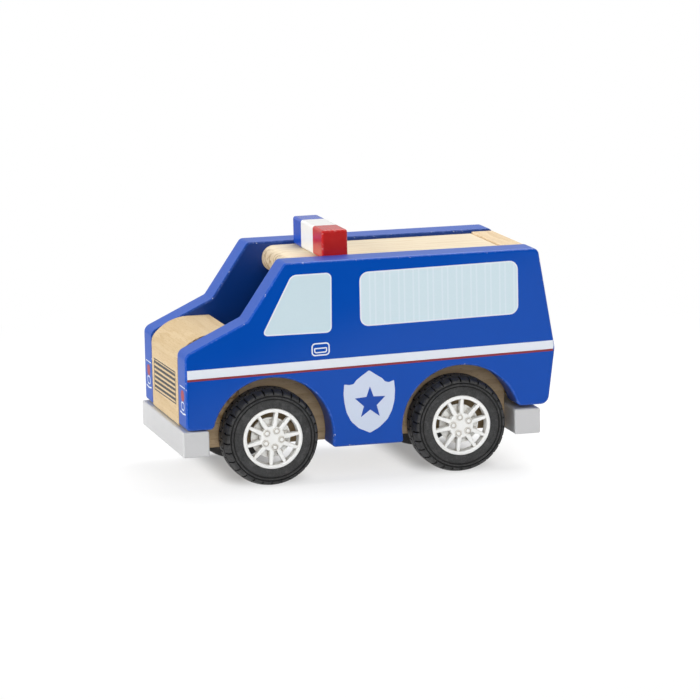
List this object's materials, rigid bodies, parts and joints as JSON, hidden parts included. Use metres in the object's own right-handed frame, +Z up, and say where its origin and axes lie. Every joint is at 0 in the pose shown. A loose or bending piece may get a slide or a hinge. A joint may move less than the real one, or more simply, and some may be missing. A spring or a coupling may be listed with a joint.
{
  "type": "wooden toy police van",
  "caption": "Wooden push-along toy police van with painted side panels, a natural wood core, an open windscreen, a roof light bar and free-rolling wheel sets.",
  "frame": {"origin": "on the floor, under the middle of the van's bounding box", "axes": "+X forward to the front bumper, +Y to the van's left side, +Z up"},
  "size_m": [0.13, 0.064, 0.084],
  "materials": {
    "blue_wood": "gloss paint on wood",
    "natural_wood": "bare sanded wood",
    "chassis_wood": "bare sanded wood",
    "silver_wood": "satin silver paint on wood",
    "lamp_wood": "gloss paint on wood, blue, white and red along its length",
    "dowel_wood": "bare turned wood",
    "hub_plastic": "moulded, glossy",
    "tyre": "matt rubber",
    "spacer_plastic": "moulded, matt",
    "steel": "drawn rod"
  },
  "bodies": {
    "van_body": {"left_side_panel": "blue_wood", "right_side_panel": "blue_wood", "hood_block": "natural_wood", "roof_board": "natural_wood", "rear_board": "natural_wood", "chassis_block": "chassis_wood", "base_plate": "chassis_wood", "front_bumper": "silver_wood", "rear_bumper": "silver_wood", "light_bar": "lamp_wood", "hood_dowels": "dowel_wood", "roof_dowels": "dowel_wood", "rear_board_dowels": "dowel_wood", "chassis_dowels": "dowel_wood", "front_bumper_dowels": "dowel_wood", "rear_bumper_dowels": "dowel_wood", "light_bar_dowels": "dowel_wood", "base_plate_screws": "steel"},
    "front_wheels": {"front_axle": "steel", "front_left_hub": "hub_plastic", "front_right_hub": "hub_plastic", "front_left_tyre": "tyre", "front_right_tyre": "tyre", "front_left_spacer": "spacer_plastic", "front_right_spacer": "spacer_plastic"},
    "rear_wheels": {"rear_axle": "steel", "rear_left_hub": "hub_plastic", "rear_right_hub": "hub_plastic", "rear_left_tyre": "tyre", "rear_right_tyre": "tyre", "rear_left_spacer": "spacer_plastic", "rear_right_spacer": "spacer_plastic"}
  },
  "joints": [
    {"name": "front_axle_spin", "type": "hinge", "parent": "van_body", "child": "front_wheels", "pos_m": [0.0341, 0, 0.0165], "axis": [0, 1, 0], "continuous": true},
    {"name": "rear_axle_spin", "type": "hinge", "parent": "van_body", "child": "rear_wheels", "pos_m": [-0.0316, 0, 0.0165], "axis": [0, 1, 0], "continuous": true}
  ]
}
